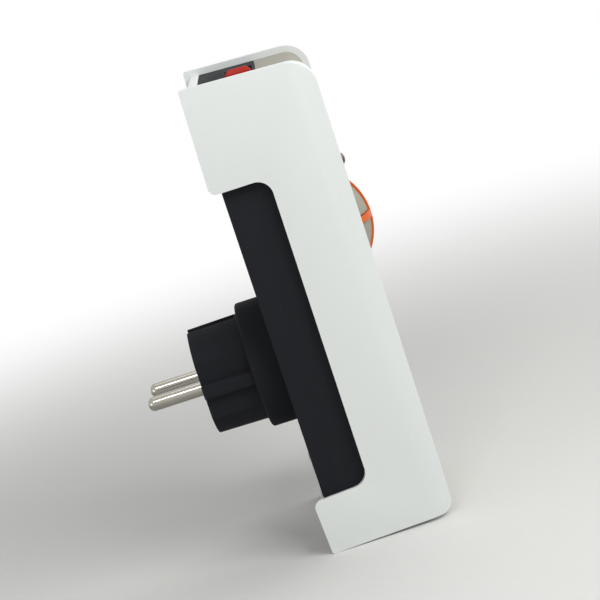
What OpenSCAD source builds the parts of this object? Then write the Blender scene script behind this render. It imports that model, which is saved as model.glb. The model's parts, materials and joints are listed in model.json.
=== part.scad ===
// Plug-in power meter: two white side cheeks, a warm grey fascia, a black rear
// housing with a round mains plug, and an outlet recess on the front.
// Z is up, the front faces -Y and the plug points along +Y.
// The origin lies on the plug's axis, in the plane where the collar seats.

/* [Housing] */
// Width over the two side cheeks
housing_w = 68; // [66:0.5:76]
// Depth of the cheeks from rear edge to front edge, at the ends
housing_depth = 42.1; // [41.7:0.2:48]
// How much further back the rear edge stands beside the notch
rear_flare = 0.9; // [0:0.1:1.2]
// Plug axis up to the top rear corner
axis_to_top = 97.4; // [97:0.2:110]
// Plug axis down to the bottom rear corner
axis_to_bottom = 60.2; // [58:0.2:75]
// How far the top draws in from rear to front
end_draft = 2.1; // [0.5:0.1:3]
// How far the bottom draws in from rear to front
bottom_draft = 1.5; // [0.5:0.1:3]
// Thickness of a side cheek
cheek_t = 3; // [2.5:0.1:3.5]
// Corner radius at the top of the front edge
front_top_r = 8; // [7:0.5:9]
// Corner radius at the bottom of the front edge
front_bottom_r = 5; // [5:0.5:7]
// Depth of the soft roll along a cheek's front edge
roll_depth = 7.5; // [4:0.5:9]
// How far that roll falls towards the middle
roll_fall = 1.6; // [0.6:0.1:2]
// Gap left around moulded pieces that slip together
fit_gap = 0.15; // [0.1:0.01:0.25]

/* [Rear notch] */
// Plug axis up to the notch's upper edge
notch_top = 63; // [58:0.5:66]
// Plug axis down to the notch's lower edge
notch_bottom = 41; // [36:0.5:44]
// Depth of the notch from the cheek's rear edge
notch_depth = 19.2; // [12:0.2:20]
// Radius inside the notch at its top
notch_top_r = 5; // [2:0.2:6]
// Radius inside the notch at its foot
notch_r = 4.8; // [2:0.2:6]
// Slope of the notch's foot towards the inside
foot_slope = 0.15; // [0.05:0.05:0.4]
// How far the notch's foot falls towards the rear
foot_fall = 0.95; // [0.5:0.05:1.2]
// Radius of the corners beside the notch
block_r = 2.5; // [1:0.1:4]

/* [Fascia and rear housing] */
// How far the fascia lies below the cheeks' edges
recess = 2.2; // [1.8:0.1:2.6]
// Thickness of the fascia
fascia_t = 2.5; // [2:0.1:2.8]
// How far the fascia wraps back over the ends
fascia_return = 17.8; // [17:0.1:18.2]
// Wall of the rear housing
shell_t = 2; // [1.6:0.1:2.2]
// Rear caps' distance inside the cheeks' rear edge
cap_inset = 1.7; // [1.4:0.1:2.1]
// Thickness of the rear caps
cap_t = 3.4; // [3:0.1:3.6]
// How far the rear caps lie below the cheeks' ends
cap_drop = 1.8; // [0.4:0.1:2.2]

/* [Mains plug] */
// Cheeks' rear edge to the plug's seating plane
rear_to_seat = 6.9; // [6.4:0.1:7.2]
// Radius of the collar
collar_r = 21.5; // [20:0.1:24]
// Length of the collar
collar_len = 9.7; // [9.4:0.1:10]
// Rounding of the collar's rim
collar_round = 1.1; // [0.5:0.1:2.4]
// Radius of the round insert at its face
insert_r = 18; // [17.5:0.1:18.5]
// Length of the insert
insert_len = 17.5; // [17:0.1:18.5]
// Radius of a contact pin
pin_r = 2.4; // [2.3:0.01:2.5]
// Length of a pin beyond the insert's face
pin_len = 19; // [18:0.1:20]
// Distance between the two pin axes
pin_pitch = 19; // [18:0.1:20]
// Half width of the flat on each side of the insert
flat_half = 9.5; // [8:0.1:10]
// Width of the rib along each flat
rib_w = 4.4; // [3:0.1:6]

/* [Outlet] */
// Radius of the outlet recess
recess_r = 19.75; // [19.4:0.05:20]
// Depth of the outlet recess
recess_depth = 17.5; // [17:0.1:18.5]
// Wall of the outlet cup
cup_wall = 1.5; // [1.3:0.1:1.7]
// Width of the rim around the recess
rim_w = 2.2; // [1.8:0.1:2.4]
// How far that rim stands on the fascia
rim_h = 1.2; // [0.6:0.1:1.8]
// Thickness of the cup's floor
cup_floor = 2.5; // [2:0.1:3]
// Bore radius of a contact sleeve
sleeve_bore = 2.5; // [2.45:0.01:2.6]
// Wall of a contact sleeve
sleeve_wall = 1.1; // [0.8:0.1:1.3]

/* [Display] */
// Width of the display window
window_w = 41; // [36:0.5:43]
// Height of the display window
window_h = 20; // [16:0.5:21]
// Plug axis up to the window's centre
window_z = 74.6; // [74:0.1:75.4]
// Thickness of the window
window_t = 1.5; // [1:0.1:1.7]

/* [Key pad] */
// Plug axis up to the pad's centre
pad_z = 37.4; // [37.2:0.1:37.6]
// Radius of the domed surface
dome_r = 21; // [20:0.5:28]
// Height of the dome above the cheeks' front edge
dome_rise = 4.1; // [2.6:0.1:4.6]
// Radius of the pad
pad_r = 14.6; // [13.6:0.1:14.8]
// Wall of the pad's ring
ring_wall = 1.2; // [1:0.1:1.6]
// Width of the ribs that part the keys
cross_w = 2.1; // [1.8:0.1:3]
// How far the keys lie below the ribs
key_drop = 0.8; // [0.6:0.1:1.4]
// Travel of a key
key_travel = 0.8; // [0.4:0.1:1]
// Gap around a key
key_gap = 0.3; // [0.2:0.05:0.4]
// Plug axis up to the indicator lamp
lamp_z = 57; // [56:0.1:58]
// Radius of the indicator lamp
lamp_r = 2.4; // [2:0.1:2.6]
// Height of the lamp above the cheeks' front edge
lamp_rise = 1.3; // [0.6:0.1:2]

/* [Rocker switch] */
// Distance from the cheeks' front edge to the rocker's centre
rocker_back = 23.2; // [23.2:0.1:23.6]
// Half length of the rocker
rocker_half = 9.2; // [8:0.1:10]
// Width of the rocker
rocker_w = 8.6; // [7.6:0.1:8.6]
// Gap around the rocker
rocker_gap = 0.3; // [0.2:0.05:0.4]
// Tilt of the rocker to either side
rocker_tilt = 8; // [4:0.5:9]
// Slant cut along the rocker's upper edges
rocker_slant = 1.5; // [0.5:0.1:1.8]
// Wall of the switch frame
frame_wall = 0.6; // [0.5:0.05:0.6]
// Height of the frame's lip above the housing
lip_h = 0.4; // [0.3:0.1:1.2]
// Depth of the switch below the housing's top
switch_depth = 14; // [12:0.5:15]

/* [Boards and fasteners] */
// Thickness of a circuit board
board_t = 1.6; // [1.2:0.1:1.8]
// Clearance between a board and the housing's side wall
board_side = 1.85; // [1.4:0.05:2.4]
// Board edge to the power board's screws
screw_edge = 3; // [2.6:0.1:3.4]
// Margin between neighbours on the boards
part_gap = 1; // [0.8:0.1:1.2]
// Radius of a board boss
boss_r = 2.6; // [2.2:0.1:2.8]
// Radius of a board screw's shank
board_screw_r = 1; // [0.8:0.05:1.2]
// Radius of a housing screw's shank
housing_screw_r = 1.4; // [1.2:0.05:1.6]
// Radius of a locating peg on a cheek
peg_r = 2; // [1.5:0.1:2.4]

/* [Board components] */
// Relay: width, height above the board, length
relay_size = [16, 15.4, 19];
// Transformer: width, height above the board, length
transformer_size = [16, 14, 11];
// Film capacitor: width, height above the board, length
capacitor_size = [18, 13, 8];
// Radius of the surge absorber
varistor_r = 8; // [5:0.5:8]
// Thickness of the surge absorber
varistor_t = 4.5; // [3:0.5:5]
// Radius of the fuse
fuse_r = 2.6; // [2.4:0.1:2.8]
// Length of the fuse
fuse_len = 20; // [18:0.5:20]
// Width of a fuse clip
fuse_clip_w = 3; // [2:0.5:3]
// Current shunt: width, height above the board, length
shunt_size = [10, 6, 7];
// Thickness of the shunt's strip
shunt_t = 1.5; // [1:0.1:1.8]
// Controller: width, height above the board, length
chip_size = [9, 1.5, 9];
// Radius of the backup cell
cell_r = 5.4; // [4:0.1:6]
// Thickness of the backup cell
cell_t = 3.2; // [2:0.1:3.6]

/* [Hidden] */
$fn = 64;
cut = 1;
arc_steps = 8;
white = "#e4e8e6";
black = "#26272a";
warm_grey = "#a5a298";
key_grey = "#98968a";
orange = "#dd6a2e";
nickel = "#c9cacc";
brass = "#c8a24c";
board_green = "#1f5c3a";

// Housing levels
y_rear = -rear_to_seat;
y_front = y_rear - housing_depth;
y_notch = y_rear + rear_flare - notch_depth;
x_cheek = housing_w / 2;
x_inner = x_cheek - cheek_t;
x_slip = x_inner - fit_gap;
y_fascia = y_front + recess;
y_fascia_in = y_fascia + fascia_t;
y_return = y_front + fascia_return;
y_shell_front = y_fascia_in + fit_gap;
y_back = -collar_len;
y_cap = y_rear - cap_inset;
y_cap_in = y_cap - cap_t;
y_shell_rear = y_cap_in - fit_gap;
draft_angle = atan(end_draft / housing_depth);
under_fascia = recess + fascia_t + fit_gap;
corner_r = 0.8;
block_low = notch_bottom + foot_fall + 0.35;

// Plug and outlet levels
pin_x = pin_pitch / 2;
tail_r = pin_r - 0.5;
insert_root_r = insert_r + 0.3;
insert_round = 0.3;
spigot_r = 15.85;
spigot_end = y_back - shell_t - 2.3;
tail_end = spigot_end - 0.8;
groove_w = 5.6;
groove_floor = insert_r - 4.8;
clip_w = 4.8;
clip_t = 1;
clip_tail = 5;
clip_seat = groove_floor + 0.3;
cup_r = recess_r + cup_wall;
rim_r = cup_r + rim_w - cup_wall;
y_rim = y_fascia - rim_h;
y_cup_floor = y_rim + recess_depth;
y_cup_back = y_cup_floor + cup_floor;
entry_r = pin_r + 0.6;
floor_lap = 1;
key_rib = 3;
key_rib_z = rib_w / 2 + key_rib;

// Boards: the power board stands behind the outlet's level, the display board in front
y_board = tail_end - 1.2;
y_board_front = y_board - board_t;
y_sleeve_end = y_board_front - 0.8;
bar_w = 6;
bar_lap = 7;
root = 0.5;
board_half = x_slip - shell_t - board_side;
board_low = rim_r + 2 * part_gap;
board_high = window_z - 0.6 * part_gap;
pad_back = y_fascia_in + 0.9;
flange_back = pad_back + 0.2 + 1;
plunger_end = flange_back + 0.3;
y_mat = plunger_end + key_travel + key_gap;
mat_t = 1;
y_display = y_mat + mat_t;
y_display_back = y_display + board_t;
display_high = top_at(y_display, under_fascia + shell_t) - 0.8 * part_gap;
pilot = board_screw_r + 0.05;
screw_hole = board_screw_r + 0.3;
screw_head_r = board_screw_r + 1.2;
screw_head_t = 1.6;
power_x = board_half - screw_edge;
power_z = [board_low + screw_edge + part_gap, board_high - screw_edge - part_gap];
power_screws = [for (x = [-power_x, power_x]) for (z = power_z) [x, z]];
display_x = board_half - boss_r + 1.4 * part_gap;
display_z = window_z - window_h / 2 - part_gap - boss_r - 0.5;
display_screws = [for (x = [-display_x, display_x]) for (z = [board_low + boss_r - 0.6, display_z]) [x, z]];
cap_x = x_slip - 6.85;
cap_z = [(notch_top + axis_to_top) / 2 + 1.8, -(notch_bottom + axis_to_bottom) / 2 - 0.15];
cap_screws = [for (x = [-cap_x, cap_x]) for (z = cap_z) [x, z]];
cap_head_r = housing_screw_r + 1.4;
cap_head_t = 2;
post_r = housing_screw_r + 1.6;
post_len = 9;
peg_front = y_front + 16;
peg_rear = y_shell_rear - 5.85;
pegs = [
    [peg_front, axis_to_top - 15.4], [peg_front, 8], [peg_front, -axis_to_bottom + 13.2],
    [peg_rear, notch_top + 11], [peg_rear, -notch_bottom - 8.5]
];
peg_len = shell_t - 0.2;

// Rows of components on the power board
row_low = board_low + bar_lap + 3 * part_gap;
varistor_z = row_low + capacitor_size[2] + 3 * part_gap;
fuse_x = board_half - part_gap - fuse_len;
fuse_lift = fuse_r + 2.4 * part_gap;
fuse_z = varistor_z + varistor_t + part_gap + fuse_r + 0.3;
row_high = fuse_z + fuse_r + 2 * part_gap;

// Switch and dome levels
y_rocker = y_front + rocker_back;
frame_in_x = rocker_half + rocker_gap;
frame_in_y = rocker_w / 2 + rocker_gap;
frame_x = frame_in_x + frame_wall;
frame_y = frame_in_y + frame_wall;
lip_over = 0.4;
rocker_pivot = 1.2;
rocker_end_h = 2.2;
rocker_top = rocker_end_h + rocker_half / 40;
rocker_mid_h = 1.5;
stub_r = 0.9;
rocker_belly = 4.5;
well_floor = 4;
dome_y = y_front - dome_rise + dome_r;
well_r = pad_r - ring_wall;
flange_r = pad_r + 1.2;
plunger_r = 2;

// Height of the top edge at depth y, and of the bottom edge, set in by an amount
function top_at(y, inset) = axis_to_top - end_draft * (y_rear - y) / housing_depth - inset;
function bottom_at(y, inset) = -axis_to_bottom + bottom_draft * (y_rear - y) / housing_depth + inset;

// Points of one corner c, between its neighbours a and b, rounded to radius r
function arc_corner(a, c, b, r) =
    let (
        u = (a - c) / norm(a - c),
        v = (b - c) / norm(b - c),
        half = acos(u * v) / 2,
        m = c + (u + v) / norm(u + v) * r / sin(half),
        s = c + u * r / tan(half) - m,
        e = c + v * r / tan(half) - m,
        a0 = atan2(s.y, s.x),
        sweep = (atan2(e.y, e.x) - a0 + 540) % 360 - 180
    )
    r <= 0 ? [c] : [for (k = [0 : arc_steps])
        m + r * [cos(a0 + sweep * k / arc_steps), sin(a0 + sweep * k / arc_steps)]];

// An outline of [point, radius] pairs with every corner rounded
function rounded(corners) =
    let (n = len(corners))
    [for (i = [0 : n - 1])
        each arc_corner(corners[(i + n - 1) % n][0], corners[i][0],
                        corners[(i + 1) % n][0], corners[i][1])];

// Extrude a shape drawn in depth and height across the width
module across(x0, x1) {
    translate([x0, 0, 0]) rotate([90, 0, 90]) linear_extrude(x1 - x0) children();
}

// Extrude a shape drawn as seen from the front, with height as its second axis
module along_depth(y0, y1) {
    translate([0, y1, 0]) rotate([90, 0, 0]) linear_extrude(y1 - y0) children();
}

// Round bar along the depth
module rod(r, y0, y1, x = 0, z = 0) {
    translate([x, y0, z]) rotate([-90, 0, 0]) cylinder(r = r, h = y1 - y0);
}

// Box from its two corners
module block(low, high) {
    translate(low) cube(high - low);
}

// Turn a profile of radius and depth about the plug's axis
module turned(x = 0, z = 0) {
    translate([x, 0, z]) rotate([-90, 0, 0]) rotate_extrude() children();
}

// Place on the sloping top of the rear housing at the rocker's centre
module on_top() {
    translate([0, y_rocker, top_at(y_rocker, recess)]) rotate([draft_angle, 0, 0]) children();
}

// Side outline of a cheek, with the notch at the rear
module cheek_outline() {
    polygon(rounded([
        [[y_rear, top_at(y_rear, 0)], corner_r],
        [[y_front, top_at(y_front, 0)], front_top_r],
        [[y_front, bottom_at(y_front, 0)], front_bottom_r],
        [[y_rear, bottom_at(y_rear, 0)], corner_r],
        [[y_rear + rear_flare, -notch_bottom], block_r],
        [[y_notch, -notch_bottom], notch_r],
        [[y_notch, notch_top], notch_top_r],
        [[y_rear + rear_flare, notch_top], block_r]
    ]));
}

// One side cheek on the -X side
module cheek() {
    color(white) {
        difference() {
            across(-x_cheek, -x_inner) cheek_outline();
            front_roll_cut();
            foot_cut();
        }
        for (p = pegs)
            translate([-x_inner - root, p.x, p.y]) rotate([0, 90, 0])
                cylinder(r = peg_r, h = root + fit_gap + peg_len);
    }
}

// Tilted block that lets the notch's foot fall towards the inside and the rear
module foot_cut() {
    start = y_notch + notch_r + 0.3;
    run = y_rear + rear_flare - start;
    lean = atan(foot_slope / cheek_t);
    dip = atan(foot_fall * cos(lean) / run);
    translate([-x_inner, start, -notch_bottom]) rotate([-dip, lean, 0])
        block([-2 * cheek_t, 0, 0], [cheek_t, 2 * run, 2]);
}

// Wedge that gives the cheek's front edge its roll
module front_roll_cut() {
    translate([0, 0, -axis_to_bottom - cut])
        linear_extrude(axis_to_top + axis_to_bottom + 2 * cut)
            polygon([
                [-x_cheek - cut, y_front - cut],
                [-x_cheek - cut, y_front + roll_depth],
                [-x_cheek, y_front + roll_depth],
                [-x_cheek + roll_fall, y_front],
                [-x_cheek + roll_fall, y_front - cut]
            ]);
}

module left_cheek() cheek();

module right_cheek() mirror([1, 0, 0]) cheek();

// Screw passage and head seat of the rear caps
module cap_screw_cut(p) {
    rod(housing_screw_r + 0.2, y_cap_in - cut, y_cap + cut, p.x, p.y);
    rod(cap_head_r + 0.2, y_cap - cap_head_t - 0.2, y_cap + cut, p.x, p.y);
}

module upper_rear_cap() {
    color(white) difference() {
        across(-x_slip, x_slip) polygon(rounded([
            [[y_cap, notch_top], corner_r],
            [[y_cap, top_at(y_cap, cap_drop)], corner_r],
            [[y_cap_in, top_at(y_cap_in, cap_drop)], 0],
            [[y_cap_in, notch_top], 0]
        ]));
        for (p = cap_screws) cap_screw_cut(p);
    }
}

module lower_rear_cap() {
    color(white) difference() {
        across(-x_slip, x_slip) polygon(rounded([
            [[y_cap, -block_low], corner_r],
            [[y_cap, bottom_at(y_cap, cap_drop)], corner_r],
            [[y_cap_in, bottom_at(y_cap_in, cap_drop)], 0],
            [[y_cap_in, -block_low], 0]
        ]));
        for (p = cap_screws) cap_screw_cut(p);
    }
}

// Fascia section: the front and both wrapped ends
module fascia_outline() {
    deep = recess + fascia_t;
    polygon(rounded([
        [[y_return, top_at(y_return, recess)], 0],
        [[y_fascia, top_at(y_fascia, recess)], front_top_r - recess],
        [[y_fascia, bottom_at(y_fascia, recess)], front_bottom_r - recess],
        [[y_return, bottom_at(y_return, recess)], 0],
        [[y_return, bottom_at(y_return, deep)], 0],
        [[y_fascia_in, bottom_at(y_fascia_in, deep)], 0],
        [[y_fascia_in, top_at(y_fascia_in, deep)], front_top_r - deep],
        [[y_return, top_at(y_return, deep)], 0]
    ]));
}

module fascia() {
    ledge = 1;
    color(warm_grey) {
        difference() {
            across(-x_slip, x_slip) fascia_outline();
            rod(cup_r + fit_gap, y_fascia - cut, y_fascia_in + cut);
            rod(pad_r + fit_gap, y_fascia - cut, y_fascia_in + cut, 0, pad_z);
            rod(lamp_r + fit_gap, y_fascia - cut, y_fascia_in + cut, 0, lamp_z);
            block([-window_w / 2, y_fascia - cut, window_z - window_h / 2],
                  [window_w / 2, y_fascia + window_t + 0.3, window_z + window_h / 2]);
            block([-window_w / 2 + ledge, y_fascia, window_z - window_h / 2 + ledge],
                  [window_w / 2 - ledge, y_fascia_in + cut, window_z + window_h / 2 - ledge]);
        }
        for (p = display_screws) difference() {
            rod(boss_r, y_fascia_in - root, y_display, p.x, p.y);
            rod(pilot, y_fascia_in, y_display + cut, p.x, p.y);
        }
    }
}

// Side section of the rear housing
module shell_outline() {
    polygon(rounded([
        [[y_shell_rear, top_at(y_shell_rear, recess)], 0],
        [[y_return + fit_gap, top_at(y_return + fit_gap, recess)], 0],
        [[y_return + fit_gap, top_at(y_return + fit_gap, under_fascia)], 0],
        [[y_shell_front, top_at(y_shell_front, under_fascia)], front_top_r - under_fascia + fit_gap],
        [[y_shell_front, bottom_at(y_shell_front, under_fascia)], 0],
        [[y_return + fit_gap, bottom_at(y_return + fit_gap, under_fascia)], 0],
        [[y_return + fit_gap, bottom_at(y_return + fit_gap, recess)], 0],
        [[y_shell_rear, bottom_at(y_shell_rear, recess)], 0],
        [[y_shell_rear, -block_low + fit_gap], 0],
        [[y_back, -block_low + fit_gap], corner_r],
        [[y_back, notch_top - fit_gap], corner_r],
        [[y_shell_rear, notch_top - fit_gap], 0]
    ]));
}

// Hollow of the rear housing, open to the front
module shell_hollow() {
    high = recess + shell_t;
    low = under_fascia + shell_t;
    y_step = y_return + fit_gap + shell_t;
    y_in = y_shell_rear - shell_t;
    y_deep = y_back - shell_t;
    y_open = y_shell_front - cut;
    polygon([
        [y_in, top_at(y_in, high)],
        [y_step, top_at(y_step, high)],
        [y_step, top_at(y_step, low)],
        [y_open, top_at(y_open, low)],
        [y_open, bottom_at(y_open, low)],
        [y_step, bottom_at(y_step, low)],
        [y_step, bottom_at(y_step, high)],
        [y_in, bottom_at(y_in, high)],
        [y_in, -block_low + fit_gap + shell_t],
        [y_deep, -block_low + fit_gap + shell_t],
        [y_deep, notch_top - fit_gap - shell_t],
        [y_in, notch_top - fit_gap - shell_t]
    ]);
}

// Inner face of the rear wall at height z
function wall_in(z) = (z < notch_top && z > -block_low) ? y_back - shell_t : y_shell_rear - shell_t;

module rear_housing() {
    color(black) {
        difference() {
            across(-x_slip, x_slip) shell_outline();
            across(-x_slip + shell_t, x_slip - shell_t) shell_hollow();
            rod(spigot_r + fit_gap, y_back - shell_t - cut, y_back + cut);
            on_top() block([-frame_x - fit_gap, -frame_y - fit_gap, -switch_depth - fit_gap],
                           [frame_x + fit_gap, frame_y + fit_gap, cut]);
            for (p = cap_screws)
                rod(housing_screw_r + 0.2, y_shell_rear - shell_t - cut, y_shell_rear + cut, p.x, p.y);
            for (p = pegs)
                translate([-x_slip - cut, p.x, p.y]) rotate([0, 90, 0])
                    cylinder(r = peg_r + 0.05, h = 2 * (x_slip + cut));
        }
        for (p = power_screws) difference() {
            rod(boss_r, y_board, wall_in(p.y) + root, p.x, p.y);
            rod(pilot, y_board - cut, wall_in(p.y), p.x, p.y);
        }
        for (p = cap_screws) difference() {
            rod(post_r, y_shell_rear - shell_t - post_len, y_shell_rear - shell_t + root, p.x, p.y);
            rod(housing_screw_r + 0.05, y_shell_rear - shell_t - post_len - cut,
                y_shell_rear - shell_t + cut, p.x, p.y);
        }
    }
}

module plug_body() {
    color(black) difference() {
        union() {
            turned() polygon(rounded([
                [[0, y_back], 0],
                [[collar_r, y_back], 0],
                [[collar_r, 0], collar_round],
                [[insert_root_r, 0], 0],
                [[insert_r, insert_len], insert_round],
                [[0, insert_len], 0]
            ]));
            rod(spigot_r, spigot_end, y_back + root);
        }
        for (side = [-1, 1]) {
            rod(tail_r + 0.02, spigot_end - cut, insert_len + cut, side * pin_x);
            flat_cut(side);
            earth_groove(side);
        }
    }
}

// Flat with a rib left standing along it, on one side of the insert
module flat_cut(side) {
    flat_x = sqrt(insert_r * insert_r - flat_half * flat_half);
    floor_y = 0.3;
    for (z = [rib_w / 2, -flat_half - cut])
        block([min(side * flat_x, side * collar_r), floor_y, z],
              [max(side * flat_x, side * collar_r), insert_len + cut, z + flat_half + cut - rib_w / 2]);
}

// Groove and passage for one earth clip
module earth_groove(side) {
    mirror([0, 0, side < 0 ? 1 : 0]) {
        block([-groove_w / 2, 1, groove_floor], [groove_w / 2, insert_len + cut, collar_r]);
        block([-clip_w / 2 - 0.1, spigot_end - cut, clip_seat - 0.1],
              [clip_w / 2 + 0.1, 2, clip_seat + clip_t + 0.1]);
    }
}

// Contact pin with a rounded tip and a tail through the insert
module pin(side) {
    color(nickel) turned(side * pin_x) polygon(rounded([
        [[0, tail_end], 0],
        [[tail_r, tail_end], 0],
        [[tail_r, insert_len], 0],
        [[pin_r, insert_len], 0],
        [[pin_r, insert_len + pin_len], pin_r * 0.8],
        [[0, insert_len + pin_len], 0]
    ]));
}

module line_pin() pin(-1);

module neutral_pin() pin(1);

// Sprung earth strip: flat tail, raised contact and a lowered end
module plug_earth_clip() {
    high = insert_r - 1.2;
    across(-clip_w / 2, clip_w / 2) polygon([
        [spigot_end - 4, clip_seat],
        [3, clip_seat],
        [8, high - clip_t],
        [10.5, high - clip_t],
        [insert_len - 1.5, clip_seat + 1],
        [insert_len - 1.5, clip_seat + 1 + clip_t],
        [10.8, high],
        [7.6, high],
        [2.6, clip_seat + clip_t],
        [spigot_end - 4, clip_seat + clip_t]
    ]);
}

module plug_earth_clips() {
    color(nickel) {
        plug_earth_clip();
        mirror([0, 0, 1]) plug_earth_clip();
    }
}

module outlet_cup() {
    color(warm_grey) {
        difference() {
            union() {
                rod(rim_r, y_rim, y_fascia);
                rod(cup_r, y_rim, y_cup_floor + floor_lap);
            }
            rod(recess_r, y_rim - cut, y_cup_back);
        }
        for (side = [-1, 1]) for (z = [-key_rib_z, key_rib_z - key_rib])
            intersection() {
                rod(recess_r + 0.2, y_rim + 1, y_cup_floor);
                block([side < 0 ? -cup_r : recess_r - 2, y_rim + 1, z],
                      [side < 0 ? -recess_r + 2 : cup_r, y_cup_floor, z + key_rib]);
            }
    }
}

// Floor of the outlet, stepped to lap the cup's end, with pin entries and earth slots
module outlet_floor() {
    color(warm_grey) difference() {
        union() {
            rod(recess_r - 0.02, y_cup_floor, y_cup_back);
            rod(cup_r, y_cup_floor + floor_lap, y_cup_back);
        }
        for (side = [-1, 1]) {
            rod(entry_r, y_cup_floor - cut, y_cup_back + cut, side * pin_x);
            mirror([0, 0, side < 0 ? 1 : 0])
                block([-clip_w / 2 - 0.1, y_cup_floor - cut, recess_r - 2 - clip_t],
                      [clip_w / 2 + 0.1, y_cup_back + cut, recess_r - 0.6]);
        }
    }
}

// Contact sleeve behind the outlet's floor
module sleeve(side) {
    color(brass) difference() {
        rod(sleeve_bore + sleeve_wall, y_cup_back, y_sleeve_end, side * pin_x);
        rod(sleeve_bore, y_cup_back - cut, y_sleeve_end + cut, side * pin_x);
    }
}

module line_sleeve() sleeve(-1);

module neutral_sleeve() sleeve(1);

// Sprung earth strip inside the outlet, with its tail through the floor
module outlet_earth_clip() {
    root = recess_r - 0.8;
    across(-clip_w / 2, clip_w / 2) polygon([
        [y_cup_back + clip_tail, root],
        [y_cup_floor - 2, root],
        [y_cup_floor - 7, root - 1.6],
        [y_cup_floor - 9, root - 1.6],
        [y_rim + 2.5, root],
        [y_rim + 2.5, root - clip_t],
        [y_cup_floor - 9, root - 1.6 - clip_t],
        [y_cup_floor - 7, root - 1.6 - clip_t],
        [y_cup_floor - 1.8, root - clip_t],
        [y_cup_back + clip_tail, root - clip_t]
    ]);
}

module outlet_earth_clips() {
    color(nickel) {
        outlet_earth_clip();
        mirror([0, 0, 1]) outlet_earth_clip();
    }
}

// Straps from the plug's earth strips to the outlet's
module earth_straps() {
    low = clip_seat + clip_t;
    high = recess_r - 0.8 - clip_t;
    y_end = y_cup_back + clip_tail;
    color(brass) for (side = [0, 1]) mirror([0, 0, side]) {
        block([-clip_w / 2, y_end - clip_t, low], [clip_w / 2, spigot_end - 0.2, low + clip_t]);
        block([-clip_w / 2, y_end - clip_t, low], [clip_w / 2, y_end, high]);
    }
}

// Flat bar from the line pin's tail up behind the power board
module live_inlet_bar() {
    color(brass)
        block([-pin_x - bar_w / 2, y_board, -bar_w / 2], [-pin_x + bar_w / 2, tail_end, board_low + bar_lap]);
}

// Flat bar from the line sleeve up to the front of the power board
module live_outlet_bar() {
    color(brass) block([-pin_x - bar_w / 2, y_sleeve_end, -bar_w / 2],
                       [-pin_x + bar_w / 2, y_board_front, board_low + bar_lap]);
}

module neutral_bar() {
    color(brass) block([pin_x - bar_w / 2, y_sleeve_end, -bar_w / 2], [pin_x + bar_w / 2, tail_end, bar_w / 2]);
}

module display_window() {
    color("#20262a", 0.6)
        block([-window_w / 2 + 0.1, y_fascia + 0.3, window_z - window_h / 2 + 0.1],
              [window_w / 2 - 0.1, y_fascia + 0.3 + window_t, window_z + window_h / 2 - 0.1]);
}

module lcd_panel() {
    color("#9aa58c")
        block([-window_w / 2 - 0.5, y_fascia_in, window_z - window_h / 2 - 0.5],
              [window_w / 2 + 0.5, y_fascia_in + 2, window_z + window_h / 2 + 0.5]);
}

module backlight() {
    color("#f2f2ec")
        block([-window_w / 2 - 1, y_fascia_in + 2, window_z - window_h / 2 - 1],
              [window_w / 2 + 1, y_display, window_z + window_h / 2 + 1]);
}

module display_board() {
    color(board_green) difference() {
        block([-board_half, y_display, board_low], [board_half, y_display_back, display_high]);
        for (p = display_screws) rod(screw_hole, y_display - cut, y_display_back + cut, p.x, p.y);
    }
}

// Dark red indicator lamp: domed tip, collar behind the fascia and a base on the board
module status_lamp() {
    color("#5a1014") {
        turned(0, lamp_z) polygon(rounded([
            [[0, y_front - lamp_rise], 0],
            [[lamp_r, y_front - lamp_rise], lamp_r * 0.9],
            [[lamp_r, y_fascia_in], 0],
            [[lamp_r + 0.5, y_fascia_in], 0],
            [[lamp_r + 0.5, y_display], 0],
            [[0, y_display], 0]
        ]));
    }
}

// Solid dome of the pad, cut off at a given depth behind
module pad_dome(r, drop, y_end) {
    intersection() {
        translate([0, dome_y, pad_z]) sphere(r = dome_r - drop);
        rod(r, y_front - dome_rise - cut, y_end, 0, pad_z);
    }
}

module keypad_bezel() {
    color(orange) {
        difference() {
            pad_dome(pad_r, 0, pad_back);
            difference() {
                rod(well_r, y_front - dome_rise - cut, pad_back + cut, 0, pad_z);
                block([-cross_w / 2, y_front - dome_rise - cut, pad_z - pad_r],
                      [cross_w / 2, pad_back + cut, pad_z + pad_r]);
                block([-pad_r, y_front - dome_rise - cut, pad_z - cross_w / 2],
                      [pad_r, pad_back + cut, pad_z + cross_w / 2]);
            }
        }
        difference() {
            rod(flange_r, y_fascia_in, pad_back, 0, pad_z);
            rod(pad_r - 0.1, y_fascia_in - cut, pad_back + cut, 0, pad_z);
        }
    }
}

// Quarter of the pad between two ribs, as seen from the front
module quarter(r, inset) {
    intersection() {
        translate([0, pad_z]) circle(r = r);
        translate([inset, pad_z + inset]) square(r);
    }
}

// One key: domed cap, retaining flange behind the ribs and a plunger
module key(turn) {
    inset = cross_w / 2 + key_gap;
    reach = (well_r - key_gap) * 0.62 * cos(45);
    color(key_grey) translate([0, 0, pad_z]) rotate([0, turn, 0]) translate([0, 0, -pad_z]) {
        intersection() {
            pad_dome(pad_r, key_drop, flange_back);
            along_depth(y_front - dome_rise - cut, flange_back) quarter(well_r - key_gap, inset);
        }
        along_depth(pad_back + 0.2, flange_back) quarter(pad_r - 0.4, key_gap / 2);
        rod(plunger_r, flange_back - root, plunger_end, reach, pad_z + reach);
    }
}

module key_upper_right() key(0);

module key_lower_right() key(90);

module key_lower_left() key(180);

module key_upper_left() key(270);

module keypad_mat() {
    color("#2f3133") rod(pad_r - 0.6, y_mat, y_display, 0, pad_z);
}

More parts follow.
